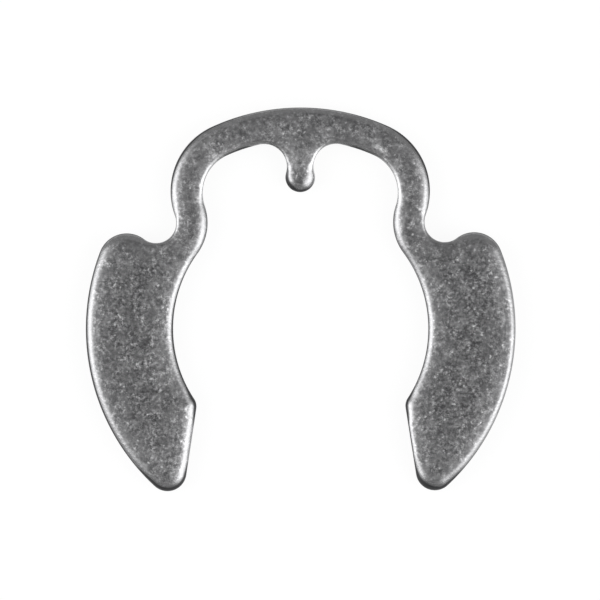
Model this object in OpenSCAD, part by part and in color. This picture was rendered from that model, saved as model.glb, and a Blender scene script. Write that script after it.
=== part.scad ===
// Retaining ring of the E shape, stamped from spring steel and tumbled until its edges are round.
// The origin is the centre of its round seat, half way through the thickness.
// The mouth faces -Y, and the crown with its centre prong faces +Y.
// The outline is one chain of round stretches, each one tangent to the next.

/* [Seat] */
// Diameter of the seat, which grips the floor of a 12 mm groove
seat_d = 11.9; // [11.6:0.05:12.2]
// Depth ground off the seat once its edges are round, which leaves a true round land
seat_skim = 0.01; // [0.005:0.005:0.02]
// Rounding of the heel, where the seat turns into the flank
heel_r = 0.63; // [0.6:0.01:0.75]

/* [Lobes] */
// Width of a lobe, from the seat to its outer edge
lobe_w = 4.05; // [3.8:0.05:4.4]
// Rounding at the top of a lobe, beside the notch
lobe_top_r = 1.33; // [1.1:0.01:1.6]
// Rounding of a lobe's lower tip
tip_r = 0.88; // [0.7:0.01:1]
// Angle below level at which a lobe's outer edge turns into the tip
tip_a = 47; // [45:0.5:49]
// Lean of the straight flank, which narrows the mouth towards the seat
flank_a = 8.8; // [6:0.2:11]

/* [Arms] */
// Width of an arm where it bends round its notch
arm_w = 1.46; // [1.3:0.02:1.6]
// Radius of the notch between an arm and its lobe
notch_r = 0.94; // [0.8:0.02:1.1]
// Outer radius of a shoulder
shoulder_r = 3.3; // [3.1:0.05:3.5]
// Inner radius of a shoulder
shoulder_in_r = 1.93; // [1.7:0.01:2.05]

/* [Crown] */
// Outer radius of the crown's long curve
crown_r = 9.95; // [9.4:0.05:10.5]
// Width of the crown
crown_w = 1.5; // [1.3:0.05:1.7]
// Rise from the seat's circle to the top of the crown
crown_rise = 4.34; // [4.2:0.02:4.5]
// Angle from the middle at which the crown turns into the shoulder
crown_a = 24.3; // [22:0.1:26]

/* [Prong] */
// Radius of the prong's round end
prong_r = 0.69; // [0.6:0.01:0.75]
// Clearance from the prong's end to the seat's circle
prong_gap = 0.4; // [0.3:0.02:0.5]
// Hollow rounding on each side of the prong, from its neck to the crown
root_r = 1.06; // [0.95:0.01:1.15]

/* [Plate] */
// Thickness of the ring
thick = 1.2; // [1.05:0.05:1.5]
// Width of the tumbled rounding, in over each face
edge_w = 0.55; // [0.4:0.01:0.56]
// Height of the tumbled rounding, down the wall
edge_h = 0.28; // [0.2:0.01:0.35]

/* [Hidden] */
steel_grey = "#6b6b6d";

// Smoothness: the longest step along a round stretch, the largest turn from one step to the next,
// and the number of steps from the flat face down to the wall
step_l = 0.4;
step_a = 9;
edge_steps = 5;

function polar(r, a) = r * [cos(a), sin(a)];
function heading(from, to) = atan2(to.y - from.y, to.x - from.x);

// Where a circle of radius rp about p crosses one of radius rq about q, on the side to the right
// of the way from p to q
function crossing(p, rp, q, rq) =
    let (
        gap = norm(q - p),
        along = (rp * rp - rq * rq + gap * gap) / (2 * gap),
        aside = sqrt(rp * rp - along * along),
        way = (q - p) / gap
    )
    p + along * way + aside * [way.y, -way.x];

// A round stretch holds its centre, its radius and its first and last angle.
// On a bulge the angle falls along the stretch, and in a hollow it rises.
function bulge(centre, r, a0, a1) = [centre, r, a0, a1 - 360 * ceil((a1 - a0) / 360)];
function hollow(centre, r, a0, a1) = [centre, r, a0, a1 - 360 * floor((a1 - a0) / 360)];

middle = [0, 0];
seat_r = seat_d / 2;
rough_r = seat_r - seat_skim;
lobe_r = seat_r + lobe_w;
under_r = crown_r - crown_w;
arm_in_r = notch_r + arm_w;

// Centres of the round stretches, from the crown round the lobe to the prong
crown_c = [0, seat_r + crown_rise - crown_r];
shoulder_c = crown_c + polar(crown_r - shoulder_r, 90 - crown_a);
notch_c = crossing(middle, rough_r + arm_in_r, shoulder_c, shoulder_r + notch_r);
lobe_top_c = crossing(middle, lobe_r - lobe_top_r, notch_c, notch_r + lobe_top_r);
tip_c = polar(lobe_r - tip_r, -tip_a);
shoulder_in_c = crossing(notch_c, arm_in_r + shoulder_in_r, crown_c, under_r - shoulder_in_r);
prong_c = [0, seat_r + prong_gap + prong_r];
root_c = crossing(crown_c, under_r - root_r, prong_c, prong_r + root_r);

// The heel's centre slides up a line beside the flank until its bulge touches the seat
flank_out = polar(1, 180 + flank_a);
flank_up = polar(1, 90 + flank_a);
heel_start = tip_c + (tip_r - heel_r) * flank_out;
heel_off = heel_start * flank_up;
heel_near = heel_start * heel_start - pow(rough_r + heel_r, 2);
heel_c = heel_start + (-heel_off - sqrt(heel_off * heel_off - heel_near)) * flank_up;

// The right half of the outline, from the top of the crown to the end of the prong
stretches = [
    bulge(crown_c, crown_r, 90, 90 - crown_a),
    bulge(shoulder_c, shoulder_r, 90 - crown_a, heading(shoulder_c, notch_c)),
    hollow(notch_c, notch_r, heading(notch_c, shoulder_c), heading(notch_c, lobe_top_c)),
    bulge(lobe_top_c, lobe_top_r, heading(lobe_top_c, notch_c), heading(middle, lobe_top_c)),
    bulge(middle, lobe_r, heading(middle, lobe_top_c), -tip_a),
    bulge(tip_c, tip_r, -tip_a, 180 + flank_a),
    bulge(heel_c, heel_r, 180 + flank_a, heading(heel_c, middle)),
    hollow(middle, rough_r, heading(middle, heel_c), heading(middle, notch_c)),
    bulge(notch_c, arm_in_r, heading(notch_c, middle), heading(notch_c, shoulder_in_c)),
    hollow(shoulder_in_c, shoulder_in_r, heading(shoulder_in_c, notch_c), heading(crown_c, shoulder_in_c)),
    hollow(crown_c, under_r, heading(crown_c, shoulder_in_c), heading(crown_c, root_c)),
    hollow(root_c, root_r, heading(crown_c, root_c), heading(root_c, prong_c)),
    bulge(prong_c, prong_r, heading(prong_c, root_c), -90)
];

// Points along one stretch, moved into the metal by inset; the last point belongs to the next one
function points_on(stretch, inset) =
    let (
        turn = stretch[3] - stretch[2],
        way = abs(turn) * PI / 180 * stretch[1],
        n = ceil(max(way / step_l, abs(turn) / step_a)),
        r = stretch[1] + sign(turn) * inset
    )
    [for (i = [0 : n - 1]) stretch[0] + polar(r, stretch[2] + turn * i / n)];

function right_half(inset) = concat(
    [for (s = stretches) each points_on(s, inset)],
    [prong_c - [0, prong_r - inset]]
);

// The whole outline clockwise, the left half being the right one mirrored
function outline(inset) =
    let (half = right_half(inset), last = len(half) - 1)
    concat(half, [for (i = [last - 1 : -1 : 1]) [-half[i].x, half[i].y]]);

// Is the next point of the outer edge nearer across the metal than that of the inner edge?
function outer_next(p, i, j) = norm(p[i + 1] - p[j]) < norm(p[i] - p[j - 1]);

// Triangles that close the right half of a face: they zip its outer edge to its inner edge
function zipped(p) =
    [for (
        i = 0, j = len(p) - 1, outer = outer_next(p, i, j);
        j - i > 1;
        i = outer ? i + 1 : i, j = outer ? j : j - 1, outer = outer_next(p, i, j)
    )
        outer ? [i, i + 1, j] : [i, j - 1, j]
    ];

function reversed(face) = [face[2], face[1], face[0]];
function shifted(face, by) = [for (i = face) i + by];

// Stamped plate with both edges rounded by a quarter of an oval, before its seat is ground
module tumbled_plate() {
    bottom = [
        for (s = [0 : edge_steps])
            let (a = 90 * s / edge_steps)
            [edge_w * (1 - sin(a)), edge_h * (1 - cos(a)) - thick / 2]
    ];
    top = [for (s = [edge_steps : -1 : 0]) [bottom[s][0], -bottom[s][1]]];
    levels = concat(bottom, top);
    n = len(outline(0));
    right_face = zipped(right_half(edge_w));
    left_face = [for (f = right_face) reversed([for (i = f) (n - i) % n])];
    face = concat(right_face, left_face);
    points = [for (level = levels) each [for (p = outline(level[0])) [p.x, p.y, level[1]]]];
    walls = [
        for (k = [0 : len(levels) - 2], i = [0 : n - 1])
            let (next = (i + 1) % n)
            [k * n + i, k * n + next, (k + 1) * n + next, (k + 1) * n + i]
    ];
    bottom_face = [for (f = face) reversed(f)];
    top_face = [for (f = face) shifted(f, (len(levels) - 1) * n)];
    polyhedron(points, concat(bottom_face, walls, top_face));
}

// The ring: the plate with the two halves of its seat ground true
module retaining_ring() {
    color(steel_grey)
    difference() {
        tumbled_plate();
        cylinder(r = seat_r, h = 2 * thick, center = true, $fn = 180);
    }
}

retaining_ring();
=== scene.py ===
import math

import bmesh
import bpy
from mathutils import Matrix, Vector
from mathutils.kdtree import KDTree


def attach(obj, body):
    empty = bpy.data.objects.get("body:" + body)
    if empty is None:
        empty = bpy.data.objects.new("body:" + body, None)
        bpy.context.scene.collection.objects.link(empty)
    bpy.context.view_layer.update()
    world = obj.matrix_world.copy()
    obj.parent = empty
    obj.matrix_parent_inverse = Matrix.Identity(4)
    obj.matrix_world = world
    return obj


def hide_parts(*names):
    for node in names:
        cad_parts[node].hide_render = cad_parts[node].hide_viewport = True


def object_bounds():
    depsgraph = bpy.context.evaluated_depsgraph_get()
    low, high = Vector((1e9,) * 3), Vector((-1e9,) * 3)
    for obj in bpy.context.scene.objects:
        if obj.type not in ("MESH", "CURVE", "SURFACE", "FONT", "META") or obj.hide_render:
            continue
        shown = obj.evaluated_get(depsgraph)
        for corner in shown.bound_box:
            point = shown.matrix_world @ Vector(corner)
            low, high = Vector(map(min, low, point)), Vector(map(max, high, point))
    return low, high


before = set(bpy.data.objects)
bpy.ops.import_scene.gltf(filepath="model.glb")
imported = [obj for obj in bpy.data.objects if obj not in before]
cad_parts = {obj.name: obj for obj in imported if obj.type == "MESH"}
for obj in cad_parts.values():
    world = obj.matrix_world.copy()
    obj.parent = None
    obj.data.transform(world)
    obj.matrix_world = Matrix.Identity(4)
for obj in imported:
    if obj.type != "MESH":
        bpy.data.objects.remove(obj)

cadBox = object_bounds()  # the solid's own box, kept before anything is dressed
scene = bpy.context.scene
mm = 0.001


def linearColour(code):
    channels = [int(code[i:i + 2], 16) / 255 for i in (1, 3, 5)]
    return [c / 12.92 if c <= 0.04045 else ((c + 0.055) / 1.055) ** 2.4 for c in channels] + [1]


def addNode(tree, kind, settings=None, links=None):
    # a setting is one of the node's own properties, or else one of its sockets
    node = tree.nodes.new(kind)
    for name, value in (settings or {}).items():
        if isinstance(name, str) and hasattr(node, name):
            setattr(node, name, value)
        else:
            node.inputs[name].default_value = value
    for name, source in (links or {}).items():
        tree.links.new(source, node.inputs[name])
    return node


def newMaterial(name):
    material = bpy.data.materials.new(name)
    material.use_nodes = True
    material.node_tree.nodes.clear()
    return material, material.node_tree


def addObject(name, mesh, material):
    data = bpy.data.meshes.new(name)
    mesh.to_mesh(data)
    mesh.free()
    data.materials.append(material)
    made = bpy.data.objects.new(name, data)
    scene.collection.objects.link(made)
    return made


# The ring, in mm: the sizes of the solid, with a finer outline and rounder edges
ring = dict(
    seatDiameter=11.9,
    seatSkim=0.01,
    heelRadius=0.63,
    lobeWidth=4.05,
    lobeTopRadius=1.33,
    tipRadius=0.88,
    tipAngle=47,
    flankLean=8.8,
    armWidth=1.46,
    notchRadius=0.94,
    shoulderRadius=3.3,
    shoulderInRadius=1.93,
    crownRadius=9.95,
    crownWidth=1.5,
    crownRise=4.34,
    crownAngle=24.3,
    prongRadius=0.69,
    prongGap=0.4,
    rootRadius=1.06,
    thickness=1.2,
    roundWidth=0.43,  # how far the rounding reaches in over the face where the edge runs straight
    roundHeight=0.19,  # and how far down the wall
    bulgeGain=0.45,  # what sticks out is rounded more, by up to this share
    hollowGain=1.2,  # what is hollow is rounded less, by up to this share
    hollowLeast=0.45,  # but every edge keeps this share of the rounding
    hollowShade=6,  # how much less painted shade the rim gets in the tightest hollow
    bendReach=0.6,  # the bend of the edge is averaged this far each way
    bendGain=1.3,  # the larger this is, the sooner a gentle bend counts as a sharp one
    # the last column is painted shade on the rim, more where it is positive and less where it is
    # negative
    wornAndRimShaded=[  # spots that the stones reached more or less: x, y, reach, added width, height and painted shade
        (6.3, -7.3, 1.6, 0, 0.09, 0.9),  # the two tips
        (-6.35, -7.3, 1.7, -0.06, 0.09, 1.2),
        (5.5, -7.5, 1, 0.06, 0.04, 1),
        (4.75, -3.6, 1, 0.08, 0.04, 0.8),  # the two heels
        (-4.75, -3.6, 1, 0.03, 0, 1.1),
        (-4.9, -5, 2, 0.14, 0.05, -0.8),  # the flanks
        (4.9, -5, 2, -0.15, -0.05, 0.4),
        (-0.1, 6.8, 1.1, -0.04, 0.05, 1),  # the prong's end
        (0.7, 7.1, 0.8, 0.12, 0.02, -1),  # and its two sides, the right one brighter
        (-0.75, 6.85, 0.7, -0.04, -0.09, 1.7),
        (2.8, 8.3, 1.8, 0, 0, 1),  # under the crown
        (-3, 8.3, 1.8, 0, 0, 1.2),
        (5.2, 8, 2.2, 0, 0, 1),  # the shoulders
        (-5.2, 8, 2.2, 0, 0, 1),
        (6, -0.5, 3.5, 0, 0, 0.6),  # the seat
        (-6, -0.5, 3.5, 0, 0, 0.4),
        (-8, -1.5, 6, 0.04, 0.03, 0.7),  # the left lobe
        (10.5, -2, 5, -0.15, -0.03, -0.5),  # the outer edge of the right lobe
    ],
    paintedRimHighlight=[  # spots where the rim gets a painted highlight right down to the wall: x, y, reach, strength
        (1.1, 7.8, 1, 0.8),  # the prong's two roots
        (-1, 7.6, 0.7, 0.3),
        (4.2, 6.8, 1.5, 0.5),  # inside the shoulders
        (-4.2, 6.8, 1.5, 0.4),
    ],
    scuffs=[  # spots of the face that are lighter: x, y, reach, strength
        (3.6, 8.45, 0.16, 0.34),  # three that make one short rubbed streak on the crown
        (3.8, 8.33, 0.16, 0.3),
        (4, 8.18, 0.14, 0.2),
        (-3.7, 8.8, 1.4, 0.04),  # a broad faint one on the left of the crown
        (-6.2, -5.2, 2, 0.035),  # and one low on the left lobe
    ],
    domeWidth=1.4,  # the faces also bow down towards their edges, over this width
    domeHeight=0.15,  # and by this much
    outlineStep=0.1,  # the longest step along the outline
    leastSteps=4,  # and the fewest steps on any round stretch of it
    bevelWidth=0.55,  # the strip along each edge that is shaped into the rounding
    bevelSteps=14,
    gridStep=0.15,  # the grid on the faces
    gridSmooths=6,  # how many times its points are evened out
    gridEase=0.5,  # how far each time
    weld=0.002,  # points nearer than this become one
    onPlane=0.0001,  # a point this near a cut of the grid lies on it
)
flatLimit = 0.99999  # a face whose normal has at least this much Z is flat
wearAndPaintedLightLayers = ("paintedRimShade", "polish", "scuff", "paintedRimHighlight")  # what each vertex tells the steel about its wear, and the painted shade and painted highlight of its rim


def polar(radius, angle):
    return radius * Vector((math.cos(math.radians(angle)), math.sin(math.radians(angle))))


def heading(start, end):
    return math.degrees(math.atan2(end.y - start.y, end.x - start.x))


def crossing(p, radiusP, q, radiusQ):
    # where the circles about p and q cross, to the right of the way from p to q
    gap = (q - p).length
    along = (radiusP ** 2 - radiusQ ** 2 + gap ** 2) / (2 * gap)
    way = (q - p) / gap
    return p + along * way + math.sqrt(radiusP ** 2 - along ** 2) * Vector((way.y, -way.x))


def bulge(centre, radius, start, end):
    # a round stretch that turns clockwise, given as its centre, radius, first angle and sweep
    return centre, radius, start, -((start - end) % 360)


def hollow(centre, radius, start, end):
    # one that turns the other way
    return centre, radius, start, (end - start) % 360


def outlineStretches(s):
    # the right half of the outline, from the top of the crown to the end of the prong: each stretch
    # touches the next, but for the straight flank between the tip and the heel
    middle = Vector((0, 0))
    seat = s["seatDiameter"] / 2 - s["seatSkim"]
    lobe = s["seatDiameter"] / 2 + s["lobeWidth"]
    under = s["crownRadius"] - s["crownWidth"]
    armIn = s["notchRadius"] + s["armWidth"]
    shoulder, shoulderIn, notch = s["shoulderRadius"], s["shoulderInRadius"], s["notchRadius"]
    lobeTop, tip, heel = s["lobeTopRadius"], s["tipRadius"], s["heelRadius"]
    prong, root = s["prongRadius"], s["rootRadius"]
    crownAt = Vector((0, s["seatDiameter"] / 2 + s["crownRise"] - s["crownRadius"]))
    shoulderAt = crownAt + polar(s["crownRadius"] - shoulder, 90 - s["crownAngle"])
    notchAt = crossing(middle, seat + armIn, shoulderAt, shoulder + notch)
    lobeTopAt = crossing(middle, lobe - lobeTop, notchAt, notch + lobeTop)
    tipAt = polar(lobe - tip, -s["tipAngle"])
    shoulderInAt = crossing(notchAt, armIn + shoulderIn, crownAt, under - shoulderIn)
    prongAt = Vector((0, s["seatDiameter"] / 2 + s["prongGap"] + prong))
    rootAt = crossing(crownAt, under - root, prongAt, prong + root)
    flankOut = 180 + s["flankLean"]
    flankUp = polar(1, 90 + s["flankLean"])  # the heel slides up the flank until it meets the seat
    heelStart = tipAt + polar(tip - heel, flankOut)
    off = heelStart.dot(flankUp)
    near = heelStart.length_squared - (seat + heel) ** 2
    heelAt = heelStart + (-off - math.sqrt(off ** 2 - near)) * flankUp
    underFrom = heading(crownAt, shoulderInAt)
    return dict(
        crown=bulge(crownAt, s["crownRadius"], 90, 90 - s["crownAngle"]),
        shoulder=bulge(shoulderAt, shoulder, 90 - s["crownAngle"], heading(shoulderAt, notchAt)),
        notch=hollow(notchAt, notch, heading(notchAt, shoulderAt), heading(notchAt, lobeTopAt)),
        lobeTop=bulge(lobeTopAt, lobeTop, heading(lobeTopAt, notchAt), heading(middle, lobeTopAt)),
        lobe=bulge(middle, lobe, heading(middle, lobeTopAt), -s["tipAngle"]),
        tip=bulge(tipAt, tip, -s["tipAngle"], flankOut),
        heel=bulge(heelAt, heel, flankOut, heading(heelAt, middle)),
        seat=hollow(middle, seat, heading(middle, heelAt), heading(middle, notchAt)),
        arm=bulge(notchAt, armIn, heading(notchAt, middle), heading(notchAt, shoulderInAt)),
        shoulderIn=hollow(shoulderInAt, shoulderIn, heading(shoulderInAt, notchAt), underFrom),
        under=hollow(crownAt, under, underFrom, heading(crownAt, rootAt)),
        root=hollow(rootAt, root, heading(crownAt, rootAt), heading(rootAt, prongAt)),
        prong=bulge(prongAt, prong, heading(prongAt, rootAt), -90),
    )


def cutGrid(mesh, s):
    # both flat faces are cut into a grid, so that they can bow down towards the outline
    for axis in (0, 1):
        low = min(v.co[axis] for v in mesh.verts)
        high = max(v.co[axis] for v in mesh.verts)
        count = math.ceil((high - low) / s["gridStep"])
        for i in range(1, count):
            at = Vector((0, 0, 0))
            at[axis] = low + (high - low) * i / count
            way = Vector((0, 0, 0))
            way[axis] = 1
            flats = [f for f in mesh.faces if abs(f.normal.z) > flatLimit]
            edges = [e for f in flats for e in f.edges]
            corners = [v for f in flats for v in f.verts]
            once = dict.fromkeys([*flats, *edges, *corners])  # and in the same order each run
            bmesh.ops.bisect_plane(mesh, geom=list(once), dist=s["onPlane"], plane_co=at,
                                   plane_no=way)


def nearness(point, x, y, reach):
    # 1 at the middle of a spot, falling to 0 at its rim
    return max(0, 1 - ((point.x - x) ** 2 + (point.y - y) ** 2) / reach ** 2)


def wearAndRimShadeAlong(s, outline, tree):
    # the width and height of the rounding at each point of the outline, and how much painted shade
    # its rim gets
    wearAndRimShade = []
    for point, bend in outline:
        around = [outline[i][1] for at, i, away in tree.find_range(point, s["bendReach"])]
        swing = math.tanh(s["bendGain"] * sum(around) / len(around))
        hollowness = min(0, swing) ** 2
        share = 1 + s["bulgeGain"] * max(0, swing) - s["hollowGain"] * hollowness
        local = Vector((s["roundWidth"], s["roundHeight"], 0)) * max(share, s["hollowLeast"])
        # the rim gets less painted shade in hollows, and the spots add width, height and painted
        # shade
        local.z = -s["hollowShade"] * hollowness
        for *spot, width, height, paintedRimShade in s["wornAndRimShaded"]:
            local += Vector((width, height, paintedRimShade)) * nearness(point, *spot)
        wearAndRimShade.append(local)
    return wearAndRimShade


def tumbleEdges(mesh, s, outline):
    # the stones leave a wide shallow oval: a vertex drops more the nearer it is to the outline
    tree = KDTree(len(outline))
    for i, (point, bend) in enumerate(outline):
        tree.insert(point, i)
    tree.balance()
    wearAndRimShade = wearAndRimShadeAlong(s, outline, tree)
    layers = [mesh.verts.layers.float[name] for name in wearAndPaintedLightLayers]
    for v in mesh.verts:
        at, i, away = tree.find((v.co.x, v.co.y, 0))
        width, height, paintedRimShade = wearAndRimShade[i]
        inward = max(0, 1 - away / width)
        drop = height * (1 - math.sqrt(1 - inward ** 2))
        drop += s["domeHeight"] * max(0, 1 - away / s["domeWidth"]) ** 2
        v.co.z = math.copysign(s["thickness"] / 2 - drop, v.co.z)
        # each vertex also keeps its polish, its lighter spots, and the painted shade and painted
        # highlight of its rim
        polish = max(0, 1 - away / s["domeWidth"])
        scuff = sum(strength * nearness(v.co, *spot) for *spot, strength in s["scuffs"])
        paintedRimHighlight = sum(strength * nearness(v.co, *spot) for *spot, strength in s["paintedRimHighlight"])
        for layer, value in zip(layers, (paintedRimShade, polish, scuff, paintedRimHighlight)):
            v[layer] = value


def drawOutline(mesh, s):
    # draws the closed outline; gives its points back, each with how sharply it bends there
    ends, outline = {}, []
    for name, (centre, radius, start, sweep) in outlineStretches(s).items():
        first = mesh.verts.new((centre + polar(radius, start)).to_3d())
        turn = math.radians(sweep)
        steps = max(s["leastSteps"], math.ceil(abs(turn) * radius / s["outlineStep"]))
        spun = bmesh.ops.spin(mesh, geom=[first], cent=centre.to_3d(), axis=(0, 0, 1),
                              angle=turn, steps=steps, use_duplicate=False)
        ends[name] = first, spun["geom_last"][0]
        bend = -math.copysign(1 / radius, sweep)
        outline += [(v.co.copy(), bend) for v in mesh.verts[len(outline):]]
    flank = mesh.edges.new((ends["tip"][1], ends["heel"][0]))
    cuts = int(flank.calc_length() / s["outlineStep"])
    bmesh.ops.subdivide_edges(mesh, edges=[flank], cuts=cuts)
    outline += [(v.co.copy(), 0) for v in mesh.verts[len(outline):]]
    outline += [(point * Vector((-1, 1, 0)), bend) for point, bend in outline]
    bmesh.ops.remove_doubles(mesh, verts=mesh.verts, dist=s["weld"])
    bmesh.ops.mirror(mesh, geom=mesh.verts[:] + mesh.edges[:], axis="X", merge_dist=s["weld"])
    return outline


def ringMesh(s):
    mesh = bmesh.new()
    for name in wearAndPaintedLightLayers:
        mesh.verts.layers.float.new(name)
    outline = drawOutline(mesh, s)
    bmesh.ops.contextual_create(mesh, geom=mesh.edges[:])
    bmesh.ops.translate(mesh, verts=mesh.verts, vec=(0, 0, -s["thickness"] / 2))
    raised = bmesh.ops.extrude_face_region(mesh, geom=mesh.faces[:])["geom"]
    bmesh.ops.translate(mesh, verts=[v for v in raised if isinstance(v, bmesh.types.BMVert)],
                        vec=(0, 0, s["thickness"]))
    bmesh.ops.recalc_face_normals(mesh, faces=mesh.faces)
    rims = [e for e in mesh.edges if abs(e.verts[0].co.z - e.verts[1].co.z) < s["weld"]]
    bmesh.ops.bevel(mesh, geom=rims, offset=s["bevelWidth"], offset_type="OFFSET",
                    segments=s["bevelSteps"], profile=0.5, affect="EDGES", material=-1,
                    clamp_overlap=False)
    bevelled, mesh = mesh, mesh.copy()  # a fresh copy is cut in the same order each run
    bevelled.free()
    cutGrid(mesh, s)
    flats = [v for v in mesh.verts if all(abs(f.normal.z) > flatLimit for f in v.link_faces)]
    tumbleEdges(mesh, s, outline)
    for i in range(s["gridSmooths"]):
        bmesh.ops.smooth_vert(mesh, verts=flats, factor=s["gridEase"], use_axis_z=True)
    bmesh.ops.scale(mesh, vec=(mm, mm, mm), verts=mesh.verts)
    for face in mesh.faces:
        face.smooth = True
    return mesh


# Tumbled spring steel: stamped, then rolled with stones until the edges shine and the faces go
# matt and finely mottled. The cut wall keeps the dark skin of the hardening oil, and its colour is
# made darker still as painted shade, so that the outline shows a dark line: its upper part was
# sheared and shows fine upright lines, its lower part was torn off and is rougher. A slope below is
# the Z of the surface's normal: 1 on the flat face, 0 on the wall. Lengths are in mm.
steel = dict(
    faceDark="#454546",
    faceLight="#e9e9ea",
    edgeDark="#909091",  # the polished rounding
    edgeLight="#c6c6c7",
    rimShadeColour="#444445",  # the steep part of the rounding, painted dark as shade
    rimHighlightColour="#e8e8e9",  # painted highlight on the same part, where it shines right down to the wall
    # the wall's dark oil skin, made darker still as painted shade
    wallDark="#3c3c3d",
    wallLight="#727273",
    polishFrom=0.985,  # the rounding is polished from this slope
    polishTo=0.88,  # and fully from this one
    polishShare=0.28,  # how much of the polish the face takes on towards its edges
    rimFrom=0.72,  # the slopes over which the rounding darkens to its rim, as painted shade
    rimTo=0.4,
    brightFrom=0.95,  # the same for the painted highlight on the rim
    brightTo=0.7,
    wallFrom=0.35,  # and for the wall
    wallTo=0.12,
    grain=0.155,  # the mottle that the stones leave
    blotch=0.4,  # loose gatherings of it
    blotchShare=0.42,
    cloud=1.6,  # wider patches that the stones reached less
    cloudShare=0.1,
    patch=0.6,  # calm patches and busy ones
    patchFrom=0.35,  # the part of their pattern that goes from calm to busy
    patchTo=0.65,
    calm=0.45,  # how strong the mottle is there
    busy=1.5,
    mottleSpread=0.4,  # the mottle's reach each way from its middle
    mottlePower=3,  # more than 1 keeps most of it dark, with light specks
    nick=0.25,  # small bright nicks
    nickFrom=0.68,  # only the peaks of their pattern show
    nickTo=0.8,
    nickLight=0.5,
    noiseRoughness=0.75,  # how strong the finest detail of these patterns is
    faceRoughness=0.42,
    edgeRoughness=0.24,
    rimRoughness=0.5,
    shearedRoughness=0.36,
    tornRoughness=0.58,
    shear=0.07,  # the upright lines on the wall, drawn coarser than the real ones so that they show
    shearDetail=3,
    shearStretch=0.12,  # the smaller this is, the longer the lines are
    shearFrom=0.3,  # the part of their pattern that shows
    shearTo=0.7,
    shearDark=0.3,  # and how light it makes the wall
    shearLight=0.9,
    tornBelow=0.05,  # the height below which the wall tore
    tornBlend=0.1,
    tornRagged=0.25,  # how ragged the border is
    tornFrom=0.3,  # the torn part takes the mottle's pattern
    tornTo=0.75,
    tornLight=0.5,
    pitDepth=0.02,  # the depth of the mottle and of the lines
    rubbedFrom=0.35,  # the pits get shallower over this share of the way to the edge
    rubbedTo=0.7,
    rubbedDepth=0.6,  # down to this share of their depth
)
patternDetail = dict(grain=3, blotch=2, patch=1, cloud=2, nick=1)


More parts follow.
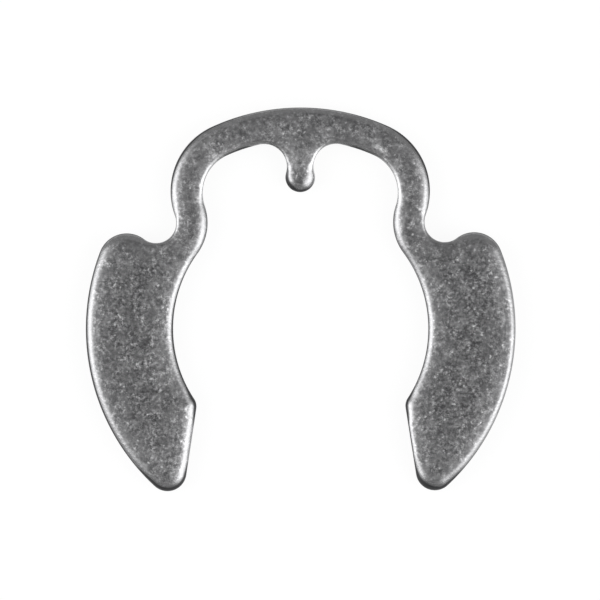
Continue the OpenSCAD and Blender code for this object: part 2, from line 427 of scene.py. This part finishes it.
def makeSteel(s):
    material, tree = newMaterial("tumbledSpringSteel")
    place = addNode(tree, "ShaderNodeTexCoord").outputs["Object"]
    facing = addNode(tree, "ShaderNodeTexCoord").outputs["Normal"]
    upright = addNode(tree, "ShaderNodeSeparateXYZ", links={0: facing}).outputs["Z"]
    slope = addNode(tree, "ShaderNodeMath", {"operation": "ABSOLUTE"}, {0: upright}).outputs[0]
    paintedRimShade, rubbed, scuff, paintedRimHighlight = [
        addNode(tree, "ShaderNodeAttribute", {"attribute_name": name}).outputs["Fac"]
        for name in wearAndPaintedLightLayers]

    # where the polished rounding, its rim painted dark as shade, and the wall begin, and where the
    # rim gets a painted highlight
    # the rim's painted shade lowers the slope, so that its dark colour reaches further in
    steepness = addNode(tree, "ShaderNodeMath", {"operation": "SUBTRACT", 0: 1},
                        {1: slope}).outputs[0]
    darkened = addNode(tree, "ShaderNodeMath", {"operation": "MULTIPLY"},
                       {0: steepness, 1: paintedRimShade}).outputs[0]
    rimShadedSlope = addNode(tree, "ShaderNodeMath", {"operation": "SUBTRACT"},
                        {0: slope, 1: darkened}).outputs[0]
    onEdge = addNode(tree, "ShaderNodeMapRange",
                     {"interpolation_type": "SMOOTHSTEP", "From Min": s["polishFrom"],
                      "From Max": s["polishTo"]}, {"Value": slope}).outputs[0]
    towardsEdge = addNode(tree, "ShaderNodeMath", {"operation": "MULTIPLY", 1: s["polishShare"]},
                          {0: rubbed}).outputs[0]
    polished = addNode(tree, "ShaderNodeMath", {"operation": "MAXIMUM"},
                       {0: onEdge, 1: towardsEdge}).outputs[0]
    aboveRim = addNode(tree, "ShaderNodeMapRange",
                       {"interpolation_type": "SMOOTHSTEP", "From Min": s["rimTo"],
                        "From Max": s["rimFrom"]}, {"Value": rimShadedSlope}).outputs[0]
    aboveWall = addNode(tree, "ShaderNodeMapRange",
                        {"interpolation_type": "SMOOTHSTEP", "From Min": s["wallTo"],
                         "From Max": s["wallFrom"]}, {"Value": slope}).outputs[0]
    onBright = addNode(tree, "ShaderNodeMapRange",
                       {"From Min": s["brightFrom"], "From Max": s["brightTo"]},
                       {"Value": slope}).outputs[0]
    shining = addNode(tree, "ShaderNodeMath", {"operation": "MULTIPLY", "use_clamp": True},
                      {0: onBright, 1: paintedRimHighlight}).outputs[0]

    # the mottle, from dark to light
    patterns = {}
    for name, detail in patternDetail.items():
        patterns[name] = addNode(tree, "ShaderNodeTexNoise",
                                 {"Scale": 1 / (s[name] * mm), "Detail": detail,
                                  "Roughness": s["noiseRoughness"]}, {"Vector": place}).outputs[0]
    busy = addNode(tree, "ShaderNodeMapRange",
                   {"From Min": s["patchFrom"], "From Max": s["patchTo"], "To Min": s["calm"],
                    "To Max": s["busy"]}, {"Value": patterns["patch"]}).outputs[0]
    centred = addNode(tree, "ShaderNodeMath", {"operation": "SUBTRACT", 1: 0.5},
                      {0: patterns["grain"]}).outputs[0]
    mixed = addNode(tree, "ShaderNodeMath", {"operation": "MULTIPLY"},
                    {0: centred, 1: busy}).outputs[0]
    for name in ("blotch", "cloud"):
        mixed = addNode(tree, "ShaderNodeMath", {"operation": "MULTIPLY_ADD", 1: s[name + "Share"]},
                        {0: patterns[name], 2: mixed}).outputs[0]
    mixed = addNode(tree, "ShaderNodeMath", {"operation": "ADD"}, {0: mixed, 1: scuff}).outputs[0]
    middle = 0.5 * (s["blotchShare"] + s["cloudShare"])  # each pattern's own middle is 0.5
    spread = addNode(tree, "ShaderNodeMapRange",
                     {"From Min": middle - s["mottleSpread"], "From Max": middle + s["mottleSpread"]},
                     {"Value": mixed}).outputs[0]
    mottle = addNode(tree, "ShaderNodeMath", {"operation": "POWER", 1: s["mottlePower"]},
                     {0: spread}).outputs[0]
    nicks = addNode(tree, "ShaderNodeMapRange",
                    {"From Min": s["nickFrom"], "From Max": s["nickTo"], "To Max": s["nickLight"]},
                    {"Value": patterns["nick"]}).outputs[0]
    mottle = addNode(tree, "ShaderNodeMath", {"operation": "ADD", "use_clamp": True},
                     {0: mottle, 1: nicks}).outputs[0]

    # the wall: sheared with upright lines above, torn below
    stretched = addNode(tree, "ShaderNodeVectorMath",
                        {"operation": "MULTIPLY", 1: (1, 1, s["shearStretch"])},
                        {0: place}).outputs[0]
    lines = addNode(tree, "ShaderNodeTexNoise",
                    {"Scale": 1 / (s["shear"] * mm), "Detail": s["shearDetail"]},
                    {"Vector": stretched}).outputs[0]
    height = addNode(tree, "ShaderNodeSeparateXYZ", links={0: place}).outputs["Z"]
    ragged = addNode(tree, "ShaderNodeMath",
                     {"operation": "MULTIPLY_ADD", 1: s["tornRagged"] * mm},
                     {0: lines, 2: height}).outputs[0]
    sheared = addNode(tree, "ShaderNodeMapRange",
                      {"From Min": s["tornBelow"] * mm,
                       "From Max": (s["tornBelow"] + s["tornBlend"]) * mm},
                      {"Value": ragged}).outputs[0]
    lined = addNode(tree, "ShaderNodeMapRange",
                    {"From Min": s["shearFrom"], "From Max": s["shearTo"],
                     "To Min": s["shearDark"], "To Max": s["shearLight"]},
                    {"Value": lines}).outputs[0]
    torn = addNode(tree, "ShaderNodeMapRange",
                   {"From Min": s["tornFrom"], "From Max": s["tornTo"], "To Max": s["tornLight"]},
                   {"Value": patterns["grain"]}).outputs[0]
    wallShade = addNode(tree, "ShaderNodeMix", {"data_type": "FLOAT"},
                        {0: sheared, 2: torn, 3: lined}).outputs[0]

    # the colour, from the face over the edge and its rim to the wall; the rim is painted dark as
    # shade, and light as a highlight where it shines down to the wall
    faceColour = addNode(tree, "ShaderNodeMix",
                         {"data_type": "RGBA", 6: linearColour(s["faceDark"]),
                          7: linearColour(s["faceLight"])}, {0: mottle}).outputs[2]
    edgeColour = addNode(tree, "ShaderNodeMix",
                         {"data_type": "RGBA", 6: linearColour(s["edgeDark"]),
                          7: linearColour(s["edgeLight"])}, {0: mottle}).outputs[2]
    wallColour = addNode(tree, "ShaderNodeMix",
                         {"data_type": "RGBA", 6: linearColour(s["wallDark"]),
                          7: linearColour(s["wallLight"])}, {0: wallShade}).outputs[2]
    overEdge = addNode(tree, "ShaderNodeMix", {"data_type": "RGBA"},
                       {0: polished, 6: faceColour, 7: edgeColour}).outputs[2]
    overRim = addNode(tree, "ShaderNodeMix", {"data_type": "RGBA", 6: linearColour(s["rimShadeColour"])},
                      {0: aboveRim, 7: overEdge}).outputs[2]
    overBright = addNode(tree, "ShaderNodeMix",
                         {"data_type": "RGBA", 7: linearColour(s["rimHighlightColour"])},
                         {0: shining, 6: overRim}).outputs[2]
    colour = addNode(tree, "ShaderNodeMix", {"data_type": "RGBA"},
                     {0: aboveWall, 6: wallColour, 7: overBright}).outputs[2]

    # the roughness, in the same order
    roughEdge = addNode(tree, "ShaderNodeMapRange",
                        {"To Min": s["faceRoughness"], "To Max": s["edgeRoughness"]},
                        {"Value": onEdge}).outputs[0]
    roughRim = addNode(tree, "ShaderNodeMix", {"data_type": "FLOAT", 2: s["rimRoughness"]},
                       {0: aboveRim, 3: roughEdge}).outputs[0]
    roughWall = addNode(tree, "ShaderNodeMapRange",
                        {"To Min": s["tornRoughness"], "To Max": s["shearedRoughness"]},
                        {"Value": sheared}).outputs[0]
    roughness = addNode(tree, "ShaderNodeMix", {"data_type": "FLOAT"},
                        {0: aboveWall, 2: roughWall, 3: roughRim}).outputs[0]

    # the pits of the mottle, which are shallower towards the edge, and the lines on the wall
    pitShare = addNode(tree, "ShaderNodeMapRange",
                       {"From Min": s["rubbedFrom"], "From Max": s["rubbedTo"], "To Min": 1,
                        "To Max": s["rubbedDepth"]}, {"Value": rubbed}).outputs[0]
    pits = addNode(tree, "ShaderNodeMath", {"operation": "MULTIPLY_ADD", 2: 0.5},
                   {0: centred, 1: pitShare}).outputs[0]
    relief = addNode(tree, "ShaderNodeMix", {"data_type": "FLOAT"},
                     {0: aboveWall, 2: lines, 3: pits}).outputs[0]
    bump = addNode(tree, "ShaderNodeBump", {"Strength": 1, "Distance": s["pitDepth"] * mm},
                   {"Height": relief}).outputs[0]
    shader = addNode(tree, "ShaderNodeBsdfPrincipled", {"Metallic": 1},
                     {"Base Color": colour, "Roughness": roughness, "Normal": bump})
    addNode(tree, "ShaderNodeOutputMaterial", links={"Surface": shader.outputs[0]})
    return material


tumbledRing = addObject("tumbled_ring", ringMesh(ring), makeSteel(steel))
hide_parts("retaining_ring")
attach(tumbledRing, "root")
print("ring:", len(tumbledRing.data.polygons), "faces")


# The studio, in metres and degrees: a white table in a pale room, a soft panel at each side, and
# a low dark card in front of the ring's mouth
studio = dict(
    floorSize=8,
    floorDrop=0.002 * mm,  # the table lies this far below the ring, so that the two don't flicker
    floorColour="#ffffff",
    floorLift=0.92,  # how far the table's own white covers the lit paint, and with it the shadow
    roomColour="#b6b6b6",
    panelSteps=48,  # points round each panel
    cardFoot="#202020",  # the card's colour up to cardDark
    cardTop="#b4b4b4",  # and from cardPale, where it is as pale as the room
    cardDark=0.03,
    cardPale=0.12,
    cardWide=0.22,
    cardHigh=0.2,
    cardAway=0.28,  # how far it stands in front of the ring
    cardAside=-0.13,  # and how far along X from the ring's middle
)
softPanels = dict(  # wide and high are the discs' radii
    left_panel=dict(azimuth=180, elevation=36, distance=0.3, wide=0.25, high=0.31, level=3.3),
    right_panel=dict(azimuth=-15, elevation=36, distance=0.3, wide=0.28, high=0.31, level=3.3),
)


def makeFloor():
    # the camera and the shiny metal see it nearly white, with a faint shadow of the ring
    material, tree = newMaterial("whiteTable")
    path = addNode(tree, "ShaderNodeLightPath")
    seen = addNode(tree, "ShaderNodeMath", {"operation": "MAXIMUM"},
                   {0: path.outputs["Is Camera Ray"], 1: path.outputs["Is Glossy Ray"]}).outputs[0]
    seen = addNode(tree, "ShaderNodeMath", {"operation": "MAXIMUM"},
                   {0: seen, 1: path.outputs["Is Transmission Ray"]}).outputs[0]
    lift = addNode(tree, "ShaderNodeMath", {"operation": "MULTIPLY", 1: studio["floorLift"]},
                   {0: seen}).outputs[0]
    paint = addNode(tree, "ShaderNodeBsdfDiffuse", {"Color": linearColour(studio["floorColour"])})
    glow = addNode(tree, "ShaderNodeEmission", {"Strength": 1})
    both = addNode(tree, "ShaderNodeMixShader",
                   links={0: lift, 1: paint.outputs[0], 2: glow.outputs[0]})
    addNode(tree, "ShaderNodeOutputMaterial", links={"Surface": both.outputs[0]})
    mesh = bmesh.new()
    bmesh.ops.create_grid(mesh, x_segments=1, y_segments=1, size=studio["floorSize"] / 2)
    bmesh.ops.translate(mesh, verts=mesh.verts, vec=(0, 0, cadBox[0].z - studio["floorDrop"]))
    return addObject("white_table", mesh, material)


def makeGlow(level):
    # brightest in the middle and fading to nothing at the rim, like cloth in front of a lamp; it
    # adds to the room behind it, so that the metal shows no edge of it
    material, tree = newMaterial("softCloth")
    place = addNode(tree, "ShaderNodeTexCoord").outputs["UV"]
    offset = addNode(tree, "ShaderNodeVectorMath", {"operation": "DISTANCE", 1: (0.5, 0.5, 0)},
                     {0: place}).outputs["Value"]
    fade = addNode(tree, "ShaderNodeMapRange",
                   {"interpolation_type": "SMOOTHSTEP", "From Min": 0.5, "From Max": 0,
                    "To Max": level}, {"Value": offset}).outputs[0]
    glow = addNode(tree, "ShaderNodeEmission", links={"Strength": fade})
    room = addNode(tree, "ShaderNodeBsdfTransparent")
    both = addNode(tree, "ShaderNodeAddShader", links={0: room.outputs[0], 1: glow.outputs[0]})
    addNode(tree, "ShaderNodeOutputMaterial", links={"Surface": both.outputs[0]})
    return material


def makePanel(name, p):
    # an oval disc that faces the ring; the camera doesn't see it, but the metal does
    mesh = bmesh.new()
    mesh.loops.layers.uv.new("UVMap")
    bmesh.ops.create_circle(mesh, cap_ends=True, segments=studio["panelSteps"], radius=0.5,
                            calc_uvs=True)
    azimuth, elevation = math.radians(p["azimuth"]), math.radians(p["elevation"])
    way = Vector((math.cos(azimuth) * math.cos(elevation), math.sin(azimuth) * math.cos(elevation),
                  math.sin(elevation)))
    bmesh.ops.scale(mesh, vec=(2 * p["wide"], 2 * p["high"], 1), verts=mesh.verts)
    turn = way.to_track_quat("Z", "Y").to_matrix().to_4x4()
    bmesh.ops.transform(mesh, matrix=Matrix.Translation(way * p["distance"]) @ turn,
                        verts=mesh.verts)
    panel = addObject(name, mesh, makeGlow(p["level"]))
    panel.visible_camera = False
    return panel


def makeCard():
    # it stands upright and darkens the edges that face it
    material, tree = newMaterial("blackCard")
    place = addNode(tree, "ShaderNodeTexCoord").outputs["Object"]
    height = addNode(tree, "ShaderNodeSeparateXYZ", links={0: place}).outputs["Z"]
    fade = addNode(tree, "ShaderNodeMapRange",
                   {"From Min": studio["cardDark"], "From Max": studio["cardPale"]},
                   {"Value": height}).outputs[0]
    shade = addNode(tree, "ShaderNodeMix",
                    {"data_type": "RGBA", 6: linearColour(studio["cardFoot"]),
                     7: linearColour(studio["cardTop"])}, {0: fade}).outputs[2]
    paint = addNode(tree, "ShaderNodeBsdfDiffuse", links={"Color": shade})
    addNode(tree, "ShaderNodeOutputMaterial", links={"Surface": paint.outputs[0]})
    mesh = bmesh.new()
    bmesh.ops.create_grid(mesh, x_segments=1, y_segments=1, size=0.5)
    bmesh.ops.scale(mesh, vec=(studio["cardWide"], studio["cardHigh"], 1), verts=mesh.verts)
    bmesh.ops.rotate(mesh, matrix=Matrix.Rotation(math.radians(90), 3, "X"), verts=mesh.verts)
    bmesh.ops.translate(mesh, verts=mesh.verts,
                        vec=(studio["cardAside"], -studio["cardAway"], studio["cardHigh"] / 2))
    card = addObject("black_card", mesh, material)
    card.visible_camera = False
    return card


makeFloor()
makeCard()
[makePanel(name, p) for name, p in softPanels.items()]

world = bpy.data.worlds.new("paleRoom")
world.use_nodes = True
world.node_tree.nodes["Background"].inputs["Color"].default_value = linearColour(studio["roomColour"])
scene.world = world
print("studio")

# The camera looks straight down, from far enough off to see only the rounding of the edges
view = dict(
    frameWidth=27.93 * mm,  # what the picture's width takes in
    centre=(-0.028 * mm, 1.331 * mm),  # the point under the camera
    turn=-0.19,  # the ring lies a hair askew on the table
    lens=1500,
    sensor=36,
    nearest=0.01,
    farthest=10,
)
lens = bpy.data.cameras.new("overhead")
lens.lens, lens.sensor_width = view["lens"], view["sensor"]
lens.clip_start, lens.clip_end = view["nearest"], view["farthest"]
overhead = bpy.data.objects.new("overhead", lens)
overhead.location = (*view["centre"], view["frameWidth"] * view["lens"] / view["sensor"])
overhead.rotation_euler.z = math.radians(view["turn"])
scene.collection.objects.link(overhead)
scene.camera = overhead
scene.view_settings.view_transform = "Standard"
print("camera")
